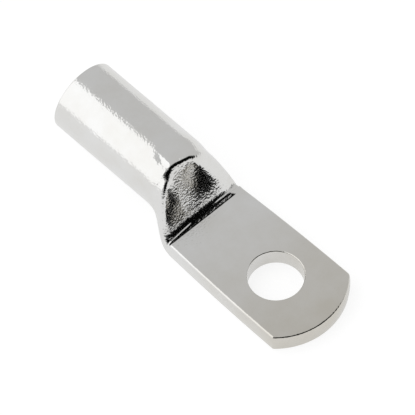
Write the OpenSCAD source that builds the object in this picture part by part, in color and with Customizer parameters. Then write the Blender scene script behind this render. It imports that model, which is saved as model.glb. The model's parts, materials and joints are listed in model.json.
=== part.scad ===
// Tubular cable lug, pressed from one piece of copper tube and tin plated.
// One end stays a round barrel that is crimped onto a conductor. The other end is pressed flat
// into a palm that a stud or bolt goes through. The neck between them is a tapered press mark:
// the top wall is pushed down in a dished scoop, with a folded crest along each side of it.
// The origin is the centre of the stud hole on the contact face, with +X towards the tip of
// the palm, the barrel towards -X and +Z up through the hole. Millimetres.

/* [Stud hole] */
// Diameter of the stud that the palm is bolted to
stud_d = 8; // [5:0.5:12]
// How much wider than the stud the hole is punched
stud_clearance = 0.4; // [0.2:0.1:0.8]
// Width of the broken edge round the top of the hole
hole_break = 0.2; // [0.05:0.05:0.5]

/* [Tube] */
// Outer diameter of the copper tube
tube_d = 11.6; // [9:0.1:13]
// Wall thickness of the tube
wall = 1.55; // [1:0.05:1.8]
// Length of the barrel that stays round
barrel_l = 16.4; // [10:0.2:40]
// Height of the barrel's underside above the contact face
barrel_lift = 1.8; // [0.5:0.1:3]
// Width of the lead-in bevel inside the barrel's mouth
mouth_bevel = 0.4; // [0.1:0.1:0.8]

/* [Palm] */
// Width of the palm at its heel, where the neck runs into it
heel_w = 14.8; // [13.5:0.1:17]
// How much wider than the heel the palm is at the corners of its tip
palm_flare = 1.1; // [0.2:0.1:2]
// Distance from the hole to the heel
heel_x = 14; // [10:0.5:25]
// Distance from the hole to the end of the tip
tip_x = 10.75; // [9:0.25:16]
// Radius of the rounded tip
tip_r = 11; // [9.5:0.5:20]

/* [Neck] */
// Length of the neck, from the palm's heel to the round barrel
neck_l = 10; // [8:0.5:16]
// Depth of the dish that the press leaves across the middle of the scoop
scoop_dish = 1.8; // [0.2:0.1:2.5]
// Thickness of the palm beyond the two tube walls that are pressed together in it
palm_extra = 0; // [0:0.05:0.4]

/* [Hidden] */

hole_d = stud_d + stud_clearance;
tube_r = tube_d / 2;
bore_r = tube_r - wall;
axis_z = barrel_lift + tube_r;
palm_t = 2 * wall + palm_extra;
barrel_x = -heel_x - neck_l;
mouth_x = barrel_x - barrel_l;

// The palm's long sides are shallow arcs that run parallel to the centreline at the tip's
// corners and draw in towards the heel.
tip_half_w = (heel_w + palm_flare) / 2;
tip_centre_x = tip_x - tip_r;
corner_x = tip_centre_x + sqrt(tip_r * tip_r - tip_half_w * tip_half_w);
side_run = heel_x + corner_x;
side_r = (side_run * side_run + palm_flare * palm_flare / 4) / palm_flare;

// Squareness of the loft's sections, from 0 for a round to nearly 1 for a box
heel_square = 0.97;
// Share of the neck at which the underside has come down to the contact face
under_end = 0.8;
// Share of the neck at which the scoop starts, its length as a share of the neck if it ran
// on until it was level, and how much of its fall lies towards the heel
scoop_start = 0.12;
scoop_run = 0.96;
scoop_lag = 1.15;
// Height of the pressed tube at the heel before the scoop levels it, as a share of the palm's
crown = 1.25;
// Stations along the neck and points round a quarter of each section
stations = 18;
quarter = 11;
cavity_stations = 10;
cavity_quarter = 8;
// How far the loft's end rings lie inside the barrel's and the palm's end faces
ring_inset = 0.02;
// How far the cavity runs back into the bore
cavity_overlap = 0.5;
// Share of the neck's length at which the pressed walls have met
pinch_at = 0.62;
// Height of the cavity where the walls meet
pinch_gap = 0.3;
// Least angle from the top over which the scoop's points are spread
scoop_angle = 30;
// Clearance of the cutting tools past the faces that they cut
past = 1;

// Smooth step from 0 to 1 as u goes from a to b
function step(u, a, b) =
    let (t = min(1, max(0, (u - a) / (b - a))))
    t * t * (3 - 2 * t);

// The same step cut off at end, where it has reached 1 and leaves a crease
function cut_step(u, a, b, end) = min(1, step(u, a, b) / step(end, a, b));

// Value between a and b
function mix(a, b, t) = a + (b - a) * t;

// Power of a section's curve: 2 for a round and larger for a box
function power(square) = 2 / (1 - heel_square * square);

// The pressed tube at share u of the neck, 0 at the barrel and 1 at the heel, as
// [half width, height of the widest line, underside, top, lower power, upper power], with
// everything moved inwards by skin. Each starts and ends its change at its own shares.
function pressed(u, skin) = [
    mix(tube_r, heel_w / 2, step(u, 0.33, 0.91)) - skin,
    mix(axis_z, palm_t / 2, step(u, 0.28, 0.95)),
    mix(barrel_lift, 0, cut_step(u, 0.28, 0.95, under_end)) + skin,
    mix(axis_z + tube_r, palm_t * crown, step(u, 0.38, 1)) - skin,
    power(step(u, 0.38, 0.9)),
    power(step(u, 0.6, 1.08))
];

// How far along the scoop share u of the neck is, and the share of the scoop's fall that is
// done there. The fall is cut off at the heel, which leaves the crease across the palm.
function scoop_at(u) = pow(max(0, u - scoop_start) / scoop_run, scoop_lag);
function fallen(u) = cut_step(scoop_at(u), 0, 1, scoop_at(1));

// Height of the scoop's crest line at share u of the neck
function crest(u) = mix(axis_z + tube_r, palm_t, fallen(u));

// Height of the scoop at share u of the neck and a distance y off the centreline
function scoop(u, y) =
    crest(u) - 4 * scoop_dish * fallen(u) * (1 - fallen(u)) * (1 - pow(y / pressed(u, 0)[0], 2));

// Slope of the scoop's crest line, as an angle
function slope(u, du = 0.01) = atan((crest(u - du) - crest(u + du)) / (2 * du * neck_l));

// The scoop's surface moved inwards by skin, square to its slope
function inner_scoop(u, y, skin) =
    let (a = slope(u + 0.5 * skin / neck_l))
    scoop(u + skin * sin(a) / neck_l, y) - skin * cos(a);

// Point of the pressed tube at an angle from the top, before the scoop is pressed in
function tube_point(p, a) =
    let (m = cos(a) > 0 ? p[5] : p[4],
         reach = pow(pow(abs(sin(a)), m) + pow(abs(cos(a)), m), -1 / m),
         rise = cos(a) > 0 ? p[3] - p[1] : p[1] - p[2])
    [p[0] * sin(a) * reach, p[1] + rise * cos(a) * reach];

// Angle from the top at which the scoop cuts the pressed tube, found by halving
function crest_angle(u, p, skin, low = 0, high = 90, turns = 16) =
    turns == 0 ? (low + high) / 2 :
    let (a = (low + high) / 2, q = tube_point(p, a), above = q[1] > inner_scoop(u, q[0], skin))
    crest_angle(u, p, skin, above ? a : low, above ? high : a, turns - 1);

// Angles from the top round half a section, with one of them on the scoop's crest
function half_angles(split, n) = [
    for (i = [0 : n - 1]) split * i / n,
    for (i = [0 : n - 1]) mix(split, 90, i / n),
    for (i = [0 : 2 * n]) mix(90, 180, i / (2 * n))
];

// Closed ring of points across the neck at share u, seen from the tip
function section(u, skin, n) =
    let (p = pressed(u, skin),
         split = max(scoop_angle, crest_angle(u, p, skin)),
         half = half_angles(split, n),
         all = concat(half, [for (i = [len(half) - 2 : -1 : 1]) 360 - half[i]]))
    [for (a = all)
        let (q = tube_point(p, a),
             top = cos(a) > 0 ? min(q[1], inner_scoop(u, q[0], skin)) : q[1])
        [q[0], skin > 0 ? max(top, cos(a) > 0 ? p[2] + pinch_gap : p[2]) : top]];

// Middle of a ring's box
function middle(ring) = [for (k = [0 : 2])
    let (along = [for (q = ring) q[k]])
    (min(along) + max(along)) / 2];

// Solid skin over a list of rings that all have the same number of points. Each end is a fan
// of triangles about the ring's middle.
module loft(rings) {
    count = len(rings[0]);
    last = len(rings) - 1;
    foot = count * len(rings);
    sides = [for (i = [0 : last - 1], j = [0 : count - 1])
        let (a = i * count + j, b = i * count + (j + 1) % count)
        each [[a, b, b + count], [a, b + count, a + count]]];
    ends = [for (j = [0 : count - 1])
        let (a = j, b = (j + 1) % count)
        each [[b, a, foot], [last * count + a, last * count + b, foot + 1]]];
    polyhedron(points = concat([for (ring = rings) each ring], [middle(rings[0]), middle(rings[last])]),
        faces = concat(sides, ends));
}

// Ring of a section set at its place along X
function ring_at(x, points) = [for (q = points) [x, q[0], q[1]]];

// Outside of the neck, from the barrel's end face to the palm's heel
module neck_outside() {
    loft([for (i = [0 : stations])
        let (u = i / stations)
        ring_at(mix(barrel_x, -heel_x, u), section(u, i == 0 || i == stations ? ring_inset : 0,
            quarter))]);
}

// Hollow that the bore runs on into, closing where the pressed walls meet
module neck_cavity() {
    loft([for (i = [0 : cavity_stations])
        let (u = mix(-cavity_overlap / neck_l, pinch_at, i / cavity_stations))
        ring_at(mix(barrel_x, -heel_x, u), section(u, wall + (u <= 0 ? ring_inset : 0),
            cavity_quarter))]);
}

// Plan outline of the palm
module palm_outline() {
    intersection() {
        intersection_for(side = [-1, 1])
            translate([corner_x, side * (tip_half_w - side_r)])
                circle(r = side_r, $fn = 720);
        union() {
            translate([tip_centre_x, 0])
                circle(r = tip_r, $fn = 180);
            translate([-heel_x, -tip_r])
                square([heel_x + tip_centre_x, 2 * tip_r]);
        }
    }
}

module cable_lug() {
    color("#c9c8c4")
    difference() {
        union() {
            linear_extrude(palm_t)
                palm_outline();
            neck_outside();
            translate([mouth_x, 0, axis_z])
                rotate([0, 90, 0])
                    cylinder(r = tube_r, h = barrel_l, $fn = 96);
        }
        // Punched stud hole with its broken edge
        translate([0, 0, -past])
            cylinder(d = hole_d, h = palm_t + 2 * past, $fn = 96);
        translate([0, 0, palm_t - hole_break])
            cylinder(d1 = hole_d, d2 = hole_d + 2 * (hole_break + past), h = hole_break + past,
                $fn = 96);
        // Bore for the conductor with the bevel at its mouth
        translate([mouth_x - past, 0, axis_z])
            rotate([0, 90, 0])
                cylinder(r = bore_r, h = barrel_l + past, $fn = 96);
        translate([mouth_x - past, 0, axis_z])
            rotate([0, 90, 0])
                cylinder(r1 = bore_r + mouth_bevel + past, r2 = bore_r, h = mouth_bevel + past,
                    $fn = 96);
        neck_cavity();
    }
}

cable_lug();
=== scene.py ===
"""Tubular cable lug: one piece of copper tube, pressed flat at one end and tin plated."""
import json
import math

import bmesh
import bpy
import numpy as np
from mathutils import Matrix, Vector


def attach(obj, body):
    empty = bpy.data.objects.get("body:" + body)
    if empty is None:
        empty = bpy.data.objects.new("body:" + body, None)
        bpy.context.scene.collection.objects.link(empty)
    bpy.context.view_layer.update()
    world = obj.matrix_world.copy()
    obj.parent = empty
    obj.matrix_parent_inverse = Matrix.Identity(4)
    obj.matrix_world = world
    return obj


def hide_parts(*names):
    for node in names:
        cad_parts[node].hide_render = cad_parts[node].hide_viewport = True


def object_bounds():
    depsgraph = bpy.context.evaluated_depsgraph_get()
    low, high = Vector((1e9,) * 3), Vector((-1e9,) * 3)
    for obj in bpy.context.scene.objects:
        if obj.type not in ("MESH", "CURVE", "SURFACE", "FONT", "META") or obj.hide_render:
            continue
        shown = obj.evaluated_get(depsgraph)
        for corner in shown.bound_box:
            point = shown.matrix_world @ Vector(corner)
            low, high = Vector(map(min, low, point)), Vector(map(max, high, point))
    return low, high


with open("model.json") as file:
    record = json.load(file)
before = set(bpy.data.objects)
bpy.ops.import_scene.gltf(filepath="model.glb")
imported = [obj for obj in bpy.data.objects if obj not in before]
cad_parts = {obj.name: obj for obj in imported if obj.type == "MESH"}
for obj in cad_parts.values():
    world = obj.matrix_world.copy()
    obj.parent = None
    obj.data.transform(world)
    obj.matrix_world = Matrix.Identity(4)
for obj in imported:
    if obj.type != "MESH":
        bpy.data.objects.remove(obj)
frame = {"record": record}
cad_low, cad_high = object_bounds()

# ---------------------------------------------------------------------------------------------
# The lug. It is cut from thick copper tube. One end stays round as the barrel, the other is
# pressed flat into the palm, which is sheared round at its tip and punched for a stud. The
# press leaves a scoop in the neck, between two folded crests. It is plated with tin all over.
# ---------------------------------------------------------------------------------------------
mm = 0.001
mounts = {mount["name"]: mount for mount in frame["record"]["mounts"]}
hole_r = mounts["stud_hole"]["dims"]["r_mm"] * mm
bore_r = mounts["barrel_bore"]["dims"]["r_mm"] * mm
axis_z = mounts["barrel_bore"]["pos_m"][2]
tube_r = cad_high.z - axis_z
wall = tube_r - bore_r
palm_t = 2 * wall
mouth_x = cad_low.x
barrel_x = mouth_x + 16.4 * mm    # where the round barrel ends
heel_x = -14.0 * mm               # where the neck runs into the palm
neck_l = heel_x - barrel_x
tip_x = cad_high.x
tip_r = 11.0 * mm
tip_half_w = cad_high.y
heel_half_w = 7.4 * mm


def step(t, start, end):
    """0 up to start and 1 from end on, with 3t2 - 2t3 between them."""
    t = np.clip((t - start) / (end - start), 0, 1)
    return t * t * (3 - 2 * t)


def mix(a, b, t):
    """a + (b - a) t"""
    return a + (b - a) * t


def pressed(u):
    """The pressed tube at share u of the neck: half width, height of its widest line, height
    of its underside, height of its top, and the powers of its lower and upper half. Each
    runs from the round tube's value to the palm's as a smooth step of u."""
    squarest = 0.97    # 0 would leave the section round and 1 would make it a box
    crown = 1.3        # height of the top at the heel before the scoop, in palm thicknesses
    crease = 0.8       # share at which the underside has come down to the contact face
    widened = step(u, 0.42, 0.82)
    lowered = step(u, 0.25, 0.95)
    landed = np.minimum(1, step(u, 0.38, 0.95) / step(crease, 0.38, 0.95))
    flattened = step(u, 0.5, 0.93)
    low_squared = step(u, 0.46, 1.05)
    high_squared = step(u, 0.9, 0.92)
    return (mix(tube_r, heel_half_w, widened),
            mix(axis_z, palm_t / 2, lowered),
            mix(axis_z - tube_r, 0, landed),
            mix(axis_z + tube_r, crown * palm_t, flattened),
            2 / (1 - squarest * low_squared),
            2 / (1 - squarest * high_squared))


def tube_top(u, y):
    """Height of the pressed tube's upper half at share u of the neck and y off the middle."""
    half_w, wide_z, _, top, _, power = pressed(u)
    out = np.minimum(1, np.abs(y) / half_w)
    return wide_z + (top - wide_z) * (1 - out ** power) ** (1 / power)


def scoop(u, y):
    """Height of the scoop at share u of the neck and y off the middle, and how softly it rounds
    into the tube. A valley line falls from the tube's top to the palm's as a smooth step. It
    wanders off the middle, and a wing rises from it on each side as a power of the distance,
    up to the crest where it meets the tube. The crests open out from the valley's start as a
    power of the share along, up to a skewed bend line where the palm begins."""
    bend_x = -14.36 * mm + 0.03 * y    # the bend line, a little skewed across the palm
    along = np.minimum(1, u * neck_l / (bend_x - barrel_x))
    half_w = pressed(u)[0]
    low_y = (-1.5 - 1.35 * u) * mm     # the valley line, which wanders off the middle
    left = y < low_y

    # The crests: the share along at which each leaves the valley, the power that it opens by,
    # and how near the valley and the tube's side they start and end
    left_start, left_bow = 0.34, 0.99
    right_start, right_bow = 0.39, 0.84
    nearest, widest = 0.15 * mm, 0.94 * half_w
    left_open = np.clip((along - left_start) / (1 - left_start), 0, 1) ** left_bow
    right_open = np.clip((along - right_start) / (1 - right_start), 0, 1) ** right_bow
    edge_y = np.where(left, mix(low_y - nearest, -widest, left_open),
                      mix(low_y + nearest, widest, right_open))

    # The valley: where its fall starts, how long it would take if it weren't cut off at the
    # bend, and the power that brings most of it forward
    start, run, lead = 0.45, 1.43, 0.51
    whole = step(((1 - start) / run) ** lead, 0, 1)
    fall = step((np.maximum(0, along - start) / run) ** lead, 0, 1) / whole
    valley = mix(axis_z + tube_r, palm_t, np.minimum(1, fall))

    # The wings: they sink into the palm before the bend, their powers run from the barrel's to
    # the heel's, and they are carried on a little past the crests so that they clear the tube
    rise = (np.maximum(tube_top(u, edge_y), valley) - valley) * (1 - step(along, 0.7, 0.99))
    part = np.clip(u, 0, 1)
    power = np.where(left, mix(1.55, 2.42, part), mix(2.49, 2.07, part))
    past = 1.6
    height = valley + rise * np.clip((y - low_y) / (edge_y - low_y), 0, past) ** power

    # The rounding of the crests grows out of the barrel and tightens towards the bend. It is
    # never quite 0, as section divides by it.
    soft = np.where(left, 0.8, 0.5) * mm * step(u, 0.02, 0.3) * (1 - 0.8 * step(along, 0.85, 1))
    return np.where(along >= 1, palm_t, height), soft + 0.001 * mm


def even(ring, shares, soften=0.0):
    """A closed ring of points, given at many angles, set at the given shares of its length. The
    ring is first averaged along its length over the distance soften, which rounds its
    corners."""
    closed = np.vstack([ring, ring[:1]])
    run = np.concatenate([[0], np.cumsum(np.hypot(*np.diff(closed, axis=0).T))])
    fine = 1440
    spaced = np.arange(fine) / fine * run[-1]
    points = np.stack([np.interp(spaced, run, closed[:, k]) for k in (0, 1)], 1)
    if soften > 0:
        frequency = np.fft.rfftfreq(fine, run[-1] / fine)
        damp = np.exp(-2 * (np.pi * frequency * soften) ** 2)[:, None]
        points = np.fft.irfft(np.fft.rfft(points, axis=0) * damp, fine, axis=0)
    wrapped = np.vstack([points, points[:1]])
    return np.stack([np.interp(shares, np.linspace(0, 1, fine + 1), wrapped[:, k])
                     for k in (0, 1)], 1)


def section(u, shares, skin=0.0, gap=0.0, soften=0.0):
    """Ring of (y, z) points across the neck at share u, moved inwards by skin. The pressed tube
    is a curve |sin a|^m + |cos a|^m = 1 in each half, and the scoop cuts its top off. Inside
    the tube the top stays at least gap above the underside."""
    a = np.linspace(0, 2 * np.pi, 2400, endpoint=False)
    half_w, wide_z, under, top, low_power, high_power = pressed(u)
    half_w, under, top = half_w - skin, under + skin, top - skin
    power = np.where(np.cos(a) > 0, high_power, low_power)
    reach = (np.abs(np.sin(a)) ** power + np.abs(np.cos(a)) ** power) ** (-1 / power)
    y = half_w * np.sin(a) * reach
    z = wide_z + np.where(np.cos(a) > 0, top - wide_z, wide_z - under) * np.cos(a) * reach
    slope = (scoop(u - 0.01, 0)[0] - scoop(u + 0.01, 0)[0]) / (0.02 * neck_l)
    tilt = math.atan(slope)
    cut, soft = scoop(u + skin * math.sin(tilt) / neck_l, y)
    cut = cut - skin * math.cos(tilt)
    low = np.minimum(z, cut)
    rounded = low - soft * np.log(np.exp(-np.minimum(50, (z - low) / soft))
                                  + np.exp(-np.minimum(50, (cut - low) / soft)))
    z = np.where(np.cos(a) > 0, rounded, z)
    if skin > 0:
        z = np.maximum(z, np.where(np.cos(a) > 0, under + gap, under))
    return even(np.stack([y, z], 1), shares, soften)


# Rounding of the palm's long edges, as inward offset and height round the edge from the top
# face to the bottom one: the folded tube wall bulges a little between them.
edge_top, edge_low, bulge = 0.34 * mm, 0.22 * mm, 0.08 * mm
turn = np.linspace(0, 1, 9) * np.pi / 2
rise = np.linspace(0, 1, 13)[1:-1]
side_low, side_top = edge_low, palm_t - edge_top
edge_in = np.concatenate([bulge + edge_top * (1 - np.sin(turn)),
                          bulge * (1 - np.sin(np.pi * rise)),
                          bulge + edge_low * (1 - np.cos(turn))])
edge_z = np.concatenate([side_top + edge_top * np.cos(turn),
                         mix(side_top, side_low, rise),
                         edge_low * (1 - np.sin(turn))])

# Ring of the heel: top line, right edge, bottom line and left edge, counted from the top's
# middle towards +y. Every ring of the neck and barrel takes its shares of the length.
across = 56
top_y = (heel_half_w - edge_in[0]) * np.linspace(0, 1, across + 1)
low_y = (heel_half_w - edge_in[-1]) * np.linspace(1, -1, 2 * across + 1)
right = np.stack([heel_half_w - edge_in, edge_z], 1)
heel_ring = np.vstack([
    np.stack([top_y[:-1], np.full(across, palm_t)], 1),
    right,
    np.stack([low_y[1:-1], np.zeros(2 * across - 1)], 1),
    right[::-1] * (-1, 1),
    np.stack([-top_y[:0:-1][1:], np.full(across - 1, palm_t)], 1)])
lengths = np.hypot(*(np.roll(heel_ring, -1, 0) - heel_ring).T)
shares = np.concatenate([[0], np.cumsum(lengths)[:-1]]) / lengths.sum()
count = len(shares)
angle = 2 * np.pi * shares


def round_ring(x, r):
    """Circle of radius r about the barrel's axis at x."""
    return np.stack([np.full(count, x), r * np.sin(angle), axis_z + r * np.cos(angle)], 1)


def neck_ring(u, **how):
    """Section of the neck at share u, set at its place along X."""
    points = section(u, shares, **how)
    return np.column_stack([np.full(count, mix(barrel_x, heel_x, u)), points])


# Tube from the pinched end of its cavity out through the bore, round the mouth and back along
# the outside to the heel, as one grid of rings
pinch_at, pinch_gap = 0.62, 0.3 * mm
mouth_bevel, mouth_edge = 0.4 * mm, 0.14 * mm
inside = [neck_ring(u, skin=wall, gap=pinch_gap) for u in np.linspace(pinch_at, 0.02, 26)]
closing = np.broadcast_to(inside[0].mean(0), inside[0].shape)
bore = [round_ring(x, bore_r) for x in np.linspace(barrel_x, mouth_x + mouth_bevel, 8)]
face = [round_ring(mouth_x, r)
        for r in np.linspace(bore_r + mouth_bevel, tube_r - mouth_edge, 6)]
edge = [round_ring(mouth_x + mouth_edge * (1 - math.sin(t)),
                   tube_r - mouth_edge * (1 - math.cos(t)))
        for t in np.linspace(math.pi / 2, 0, 5)[1:]]
barrel = [round_ring(x, tube_r) for x in np.linspace(mouth_x + 2 * mouth_edge, barrel_x, 14)[:-1]]
# Each ring of the neck's outside. Its folded corners come level with the heel's a little before
# the rest of it does.
stations, softening = 140, 0.22 * mm
outside = []
for u in np.linspace(0, 1, stations + 1)[:-1]:
    ring = neck_ring(u, soften=softening * step(u, 0.02, 0.2))
    flat = np.column_stack([np.full(count, ring[0, 0]), heel_ring])
    right_side = step(heel_ring[:, 0], 4.6 * mm, 6.6 * mm) * step(u, 0.76, 0.95)
    left_side = step(-heel_ring[:, 0], 6.2 * mm, 7.3 * mm) * step(u, 0.86, 0.98)
    whole_ring = 0.9 * step(u, 0.94, 1.0)
    level = np.maximum(right_side + left_side, whole_ring)[:, None]
    outside.append(mix(ring, flat, level))
outside.append(np.column_stack([np.full(count, heel_x), heel_ring]))
outside = np.array(outside)
# The rounding along the neck, a bell curve over a few rings, which fades out towards the sharp
# bend at the heel
spread, reach = 4.0, 18
near = np.arange(-reach, reach + 1)
weight = np.exp(-0.5 * (near / spread) ** 2)
padded = np.pad(outside, ((reach, reach), (0, 0), (0, 0)), mode="edge")
blurred = sum(w * padded[reach + k:reach + k + len(outside)] for k, w in zip(near, weight))
blurred = blurred / weight.sum()
share = np.linspace(0, 1, len(outside))[:, None]
fade = step(share, 0.03, 0.2) * (1 - step(share, 0.72, 0.88))
outside[:, :, 1:] = mix(outside[:, :, 1:], blurred[:, :, 1:], fade[:, :, None])
tube = np.array([closing] + inside + bore + face + edge + barrel + list(outside))

# Outline of the palm from the heel's +y corner round the tip to its -y corner: a shallow arc
# along each side, the tip's arc, and a small fillet between them
flare = tip_half_w - heel_half_w
tip_centre = np.array([tip_x - tip_r, 0])
corner_x = tip_centre[0] + math.sqrt(tip_r ** 2 - tip_half_w ** 2)
side_run = corner_x - heel_x
side_r = (side_run ** 2 + flare ** 2) / (2 * flare)
side_centre = np.array([corner_x, tip_half_w - side_r])


def fillet_centre(r):
    """Point that lies r inside both the side's arc and the tip's."""
    a, b = side_r - r, tip_r - r
    between = tip_centre - side_centre
    d = np.hypot(*between)
    t = (a * a - b * b + d * d) / (2 * d)
    normal = np.array([between[1], -between[0]]) / d
    return side_centre + between / d * t + normal * math.sqrt(a * a - t * t) * np.sign(normal[0])


def arc(centre, r, start, end, steps):
    """Points and outward normals along an arc, from the angle start to the angle end."""
    a = np.linspace(start, end, steps)
    normal = np.stack([np.cos(a), np.sin(a)], 1)
    return centre + r * normal, normal


def half_outline(r):
    """Heel corner to the tip's middle, on the +y side, with a fillet of radius r."""
    middle = fillet_centre(r)
    from_side = math.atan2(*(middle - side_centre)[::-1])
    from_tip = math.atan2(*(middle - tip_centre)[::-1])
    from_heel = math.atan2(heel_half_w - side_centre[1], heel_x - side_centre[0])
    parts = [arc(side_centre, side_r, from_heel, from_side, 60),
             arc(middle, r, from_side, from_tip, 9),
             arc(tip_centre, tip_r, from_tip, 0, 48)]
    points = np.vstack([parts[0][0], parts[1][0][1:-1], parts[2][0]])
    normals = np.vstack([parts[0][1], parts[1][1][1:-1], parts[2][1]])
    return points, normals


# The corner of the tip on the right is sheared a little rounder than the one on the left
flip = np.array([1, -1])
right_fillet, left_fillet = 0.9 * mm, 0.5 * mm
right_points, right_normals = half_outline(right_fillet)
left_points, left_normals = half_outline(left_fillet)
outline = np.vstack([right_points, (left_points * flip)[-2::-1]])
normals = np.vstack([right_normals, (left_normals * flip)[-2::-1]])
outline[0], outline[-1] = (heel_x, heel_half_w), (heel_x, -heel_half_w)
normals[0], normals[-1] = (0, 1), (0, -1)

# Side of the palm: the edge's profile carried round the outline
band = np.concatenate([outline[:, None] - normals[:, None] * edge_in[None, :, None],
                       np.broadcast_to(edge_z[None, :, None], (len(outline), len(edge_z), 1))], 2)

# Faces of the palm with the punched hole: from the top edge in to the hole, down its wall and
# out to the bottom edge again, carried round the hole
heel_top = np.column_stack([np.full(2 * across + 1, heel_x),
                            np.concatenate([-top_y[::-1], top_y[1:]])])
heel_low = np.column_stack([np.full(2 * across + 1, heel_x), -low_y])
top_loop = np.vstack([band[:, 0, :2], heel_top[1:-1]])
low_loop = np.vstack([band[:, -1, :2], heel_low[1:-1]])
rim = top_loop / np.hypot(*top_loop.T)[:, None]
# The hole's rounded edge above and below, and the rows' shares of the way in to it, which lie
# closer together at both ends
rim_break, rim_low = 0.2 * mm, 0.08 * mm
rows = np.concatenate([[0, 0.012, 0.03], np.linspace(0.06, 0.94, 16), [0.97, 0.99, 1]])
turn = np.linspace(0, 1, 6) * np.pi / 2


def face_rows(loop, r, z):
    """Rows of a flat face from the loop in to a circle of radius r, at height z."""
    flat = mix(loop[:, None], (rim * r)[:, None], rows[None, :, None])
    return np.concatenate([flat, np.full(flat.shape[:2] + (1,), z)], 2)


def wall_rows(r, z):
    """Rows of the hole's wall, one for each radius and height."""
    ring = rim[:, None] * r[None, :, None]
    return np.concatenate([ring, np.broadcast_to(z[None, :, None], ring.shape[:2] + (1,))], 2)


hole_wall = wall_rows(
    np.concatenate([hole_r + rim_break * (1 - np.sin(turn[1:])), np.full(8, hole_r),
                    hole_r + rim_low * (1 - np.cos(turn))[:-1]]),
    np.concatenate([palm_t - rim_break * (1 - np.cos(turn[1:])),
                    np.linspace(palm_t - rim_break, rim_low, 10)[1:-1],
                    rim_low * (1 - np.sin(turn))[:-1]]))
palm = np.concatenate([face_rows(top_loop, hole_r + rim_break, palm_t), hole_wall,
                       face_rows(low_loop, hole_r + rim_low, 0)[:, ::-1]], 1)


def skin_mesh(name, grids):
    """One closed mesh out of grids of points that meet along their edges. A grid is (points,
    wraps the rows, wraps the columns). Points that fall together become one, and faces
    that have shrunk to nothing are left out."""
    points, faces, base = [], [], 0
    for grid, wrap_rows, wrap_columns in grids:
        m, n = grid.shape[:2]
        i, j = np.meshgrid(np.arange(m - (not wrap_rows)), np.arange(n - (not wrap_columns)),
                           indexing="ij")
        ring, beside = (i + 1) % m, (j + 1) % n
        faces.append(base + np.stack([i * n + j, i * n + beside, ring * n + beside,
                                      ring * n + j], -1).reshape(-1, 4))
        points.append(grid.reshape(-1, 3))
        base += m * n
    points, faces = np.vstack(points), np.vstack(faces)
    _, first, same = np.unique(np.round(points / 1e-7).astype(np.int64), axis=0,
                               return_index=True, return_inverse=True)
    faces = same.reshape(-1)[faces]
    distinct = faces != np.roll(faces, 1, axis=1)
    corners = distinct.sum(1)
    quads = faces[corners == 4]
    triangles = faces[corners == 3][distinct[corners == 3]].reshape(-1, 3)
    mesh = bpy.data.meshes.new(name)
    mesh.from_pydata(points[first].tolist(), [], quads.tolist() + triangles.tolist())
    work = bmesh.new()
    work.from_mesh(mesh)
    bmesh.ops.recalc_face_normals(work, faces=work.faces)
    work.to_mesh(mesh)
    work.free()
    mesh.shade_smooth()
    piece = bpy.data.objects.new(name, mesh)
    bpy.context.scene.collection.objects.link(piece)
    return piece


lug = skin_mesh("lug", [(tube, False, True), (band, False, False), (palm, True, False)])
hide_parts("cable_lug")
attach(lug, "root")


def linear(code):
    """sRGB hex to the linear colour that the shader takes."""
    c = np.array([int(code[k:k + 2], 16) for k in (1, 3, 5)]) / 255
    c = np.where(c <= 0.04045, c / 12.92, ((c + 0.055) / 1.055) ** 2.4)
    return (*c.tolist(), 1.0)


def add(tree, kind, settings=None, **inputs):
    """Adds a node, sets its properties and its inputs, and links an input that is a socket. An
    input's name has underscores for spaces, and a number at its end picks among inputs of
    one name."""
    node = tree.nodes.new(kind)
    for key, value in (settings or {}).items():
        setattr(node, key, value)
    for key, value in inputs.items():
        if key.startswith("input_"):
            socket = node.inputs[int(key[6:])]
        else:
            socket = node.inputs[key.replace("_", " ")]
        if isinstance(value, bpy.types.NodeSocket):
            tree.links.new(value, socket)
        else:
            socket.default_value = value
    return node


# Electro-tinned copper: a few micrometres of tin over the drawn and pressed copper, left satin.
# The grain of the pressed copper shows through it and breaks up its reflections. The real grain
# is well under 0.1 mm, and it is drawn at 0.3 mm, about the finest that still shows.
grain_size, grain_depth, cloud_size = 0.3 * mm, 0.03 * mm, 5 * mm
tin = bpy.data.materials.new("electro-tinned copper, satin")
tin.use_nodes = True
tree = tin.node_tree
tree.nodes.clear()
where = add(tree, "ShaderNodeTexCoord").outputs["Object"]
grain = add(tree, "ShaderNodeTexNoise", Vector=where, Scale=1 / grain_size, Detail=0.5,
            Roughness=0.6).outputs["Fac"]
bump = add(tree, "ShaderNodeBump", Strength=1.0, Distance=grain_depth, Height=grain)
along = add(tree, "ShaderNodeSeparateXYZ", Vector=where).outputs["X"]
cloud = add(tree, "ShaderNodeTexNoise", Vector=where, Scale=1 / cloud_size, Detail=4.0,
            Roughness=0.6).outputs["Fac"]
# Painted shade: the tin's colour darkens and warms along X, from x = -12 mm to x = 10 mm, and
# stands in for the palm's reflection growing dimmer towards the tip
painted_shade_to_tip = add(tree, "ShaderNodeMapRange", Value=along, From_Min=-12 * mm, From_Max=10 * mm,
            To_Min=0.0, To_Max=0.75).outputs["Result"]
patch = add(tree, "ShaderNodeMapRange", Value=cloud, From_Min=0.35, From_Max=0.75,
            To_Min=0.0, To_Max=0.35).outputs["Result"]
# The mix between the two tin colours is that painted shade towards the tip, plus random patches
# of tone from the cloud noise
patches_and_painted_shade = add(tree, "ShaderNodeMath", {"operation": "ADD", "use_clamp": True}, input_0=painted_shade_to_tip,
          input_1=patch).outputs[0]
tone = add(tree, "ShaderNodeMix", {"data_type": "RGBA"}, input_0=patches_and_painted_shade, input_6=linear("#E9E9E8"),
           input_7=linear("#D6D2C9")).outputs[2]
shader = add(tree, "ShaderNodeBsdfPrincipled", Base_Color=tone, Metallic=1.0,
             Roughness=0.13, Normal=bump.outputs["Normal"])
add(tree, "ShaderNodeOutputMaterial", Surface=shader.outputs["BSDF"])
lug.data.materials.append(tin)

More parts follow.
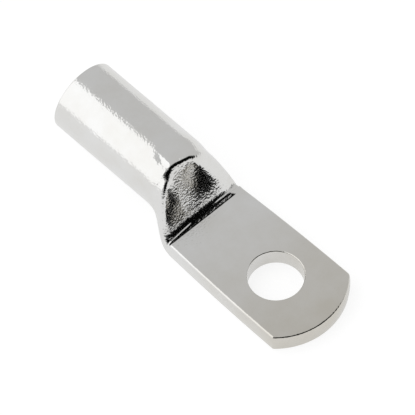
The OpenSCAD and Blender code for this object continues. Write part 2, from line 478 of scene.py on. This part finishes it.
# ---------------------------------------------------------------------------------------------
# Floor: a sheet of matt white card under the lug. It glows for the camera and, a little less,
# in reflections, which makes it as pale as the room. It takes the lug's shadow.
# ---------------------------------------------------------------------------------------------
floor_half = 3.0
floor_mesh = bpy.data.meshes.new("floor")
floor_mesh.from_pydata([(x * floor_half, y * floor_half, 0)
                        for x, y in ((-1, -1), (1, -1), (1, 1), (-1, 1))], [], [(0, 1, 2, 3)])
floor = bpy.data.objects.new("floor", floor_mesh)
bpy.context.scene.collection.objects.link(floor)
card = bpy.data.materials.new("matt white card")
card.use_nodes = True
tree = card.node_tree
tree.nodes.clear()
reflected_share, glow_strength = 0.8, 0.8
path = add(tree, "ShaderNodeLightPath")
dimmed = add(tree, "ShaderNodeMath", {"operation": "MULTIPLY"},
             input_0=path.outputs["Is Glossy Ray"], input_1=reflected_share)
seen = add(tree, "ShaderNodeMath", {"operation": "ADD"}, input_0=path.outputs["Is Camera Ray"],
           input_1=dimmed.outputs[0])
seen = add(tree, "ShaderNodeMath", {"operation": "ADD", "use_clamp": True},
           input_0=seen.outputs[0], input_1=path.outputs["Is Transmission Ray"])
lift = add(tree, "ShaderNodeMath", {"operation": "MULTIPLY"}, input_0=seen.outputs[0],
           input_1=glow_strength)
matt = add(tree, "ShaderNodeBsdfDiffuse", Color=linear("#9A9A9A"))
glow = add(tree, "ShaderNodeEmission", Strength=lift.outputs[0])
both = add(tree, "ShaderNodeAddShader", input_0=matt.outputs[0], input_1=glow.outputs[0])
add(tree, "ShaderNodeOutputMaterial", Surface=both.outputs[0])
floor_mesh.materials.append(card)

# ---------------------------------------------------------------------------------------------
# Studio: a pale room with one large softbox on the left. A dome of black felt with soft edges
# stands in front, for the dark side of the room, and only reflections show it.
# ---------------------------------------------------------------------------------------------
world = bpy.data.worlds.new("studio")
bpy.context.scene.world = world
world.use_nodes = True
tree = world.node_tree
tree.nodes.clear()
back = add(tree, "ShaderNodeBackground", Color=linear("#FFFFFF"), Strength=0.62)
add(tree, "ShaderNodeOutputWorld", Surface=back.outputs[0])

centre = (cad_low + cad_high) / 2


def toward(azimuth, elevation):
    """Unit vector at an angle from +X towards +Y and an angle above the floor, in degrees."""
    a, e = math.radians(azimuth), math.radians(elevation)
    return Vector((math.cos(a) * math.cos(e), math.sin(a) * math.cos(e), math.sin(e)))


softbox = bpy.data.lights.new("softbox", "AREA")
softbox.shape = "RECTANGLE"
softbox.size, softbox.size_y = 0.62, 0.62
radiance = 0.57
softbox.energy = radiance * math.pi * softbox.size * softbox.size_y
lamp = bpy.data.objects.new("softbox", softbox)
bpy.context.scene.collection.objects.link(lamp)
lamp.location = centre + toward(-125, 36) * 0.45
lamp.rotation_euler = (centre - lamp.location).to_track_quat("-Z", "Y").to_euler()

# The dome, as angles about the middle of the lug and their points at its radius. The cover is
# full in the middle and fades out at the edges.
dome_r = 0.9
dark_mesh = bpy.data.meshes.new("dark_card")
card_az, card_el = np.meshgrid(np.linspace(-95, 65, 49), np.linspace(-1, 74, 33), indexing="ij")
az, el = np.radians(card_az), np.radians(card_el)
dome = np.stack([np.cos(az) * np.cos(el), np.sin(az) * np.cos(el), np.sin(el)], -1) * dome_r
index = np.arange(az.size).reshape(az.shape)
dark_mesh.from_pydata((dome.reshape(-1, 3)).tolist(), [],
                      np.stack([index[:-1, :-1], index[1:, :-1], index[1:, 1:], index[:-1, 1:]],
                               -1).reshape(-1, 4).tolist())
cover = (step(card_az, -85, -60) * (1 - step(card_az, 36, 60)) * step(card_el, 0, 5)
         * (1 - step(card_el, 46, 70)))
dark_mesh.attributes.new("cover", "FLOAT", "POINT").data.foreach_set(
    "value", cover.reshape(-1).astype(np.float32))
dark = bpy.data.objects.new("dark_card", dark_mesh)
bpy.context.scene.collection.objects.link(dark)
black = bpy.data.materials.new("black felt")
black.use_nodes = True
tree = black.node_tree
tree.nodes.clear()
felt = add(tree, "ShaderNodeBsdfDiffuse", Color=linear("#101010"))
clear = add(tree, "ShaderNodeBsdfTransparent")
mask = add(tree, "ShaderNodeAttribute", {"attribute_name": "cover"})
blend = add(tree, "ShaderNodeMixShader", Fac=mask.outputs["Fac"], input_1=clear.outputs[0],
            input_2=felt.outputs[0])
add(tree, "ShaderNodeOutputMaterial", Surface=blend.outputs[0])
dark_mesh.materials.append(black)
dark.visible_camera = False
dark.visible_diffuse = False
dark.visible_shadow = False

# Camera, with a very long lens, so that the lug's sides stay nearly parallel
camera_data = bpy.data.cameras.new("camera")
camera_data.sensor_width = 36
camera_data.lens = 693.9759
camera_data.clip_end = 10
camera = bpy.data.objects.new("camera", camera_data)
bpy.context.scene.collection.objects.link(camera)
bpy.context.scene.camera = camera
aim = Vector((-15.53, 1.262, 3.0)) * mm
away = toward(-42.631, 56.837)
distance, roll = 1.1697, -1.956
camera.location = aim + away * distance
look = (-away).to_track_quat("-Z", "Y").to_matrix().to_4x4()
camera.matrix_world = Matrix.Translation(camera.location) @ look @ Matrix.Rotation(
    math.radians(roll), 4, "Z")

bpy.context.scene.view_settings.view_transform = "Standard"
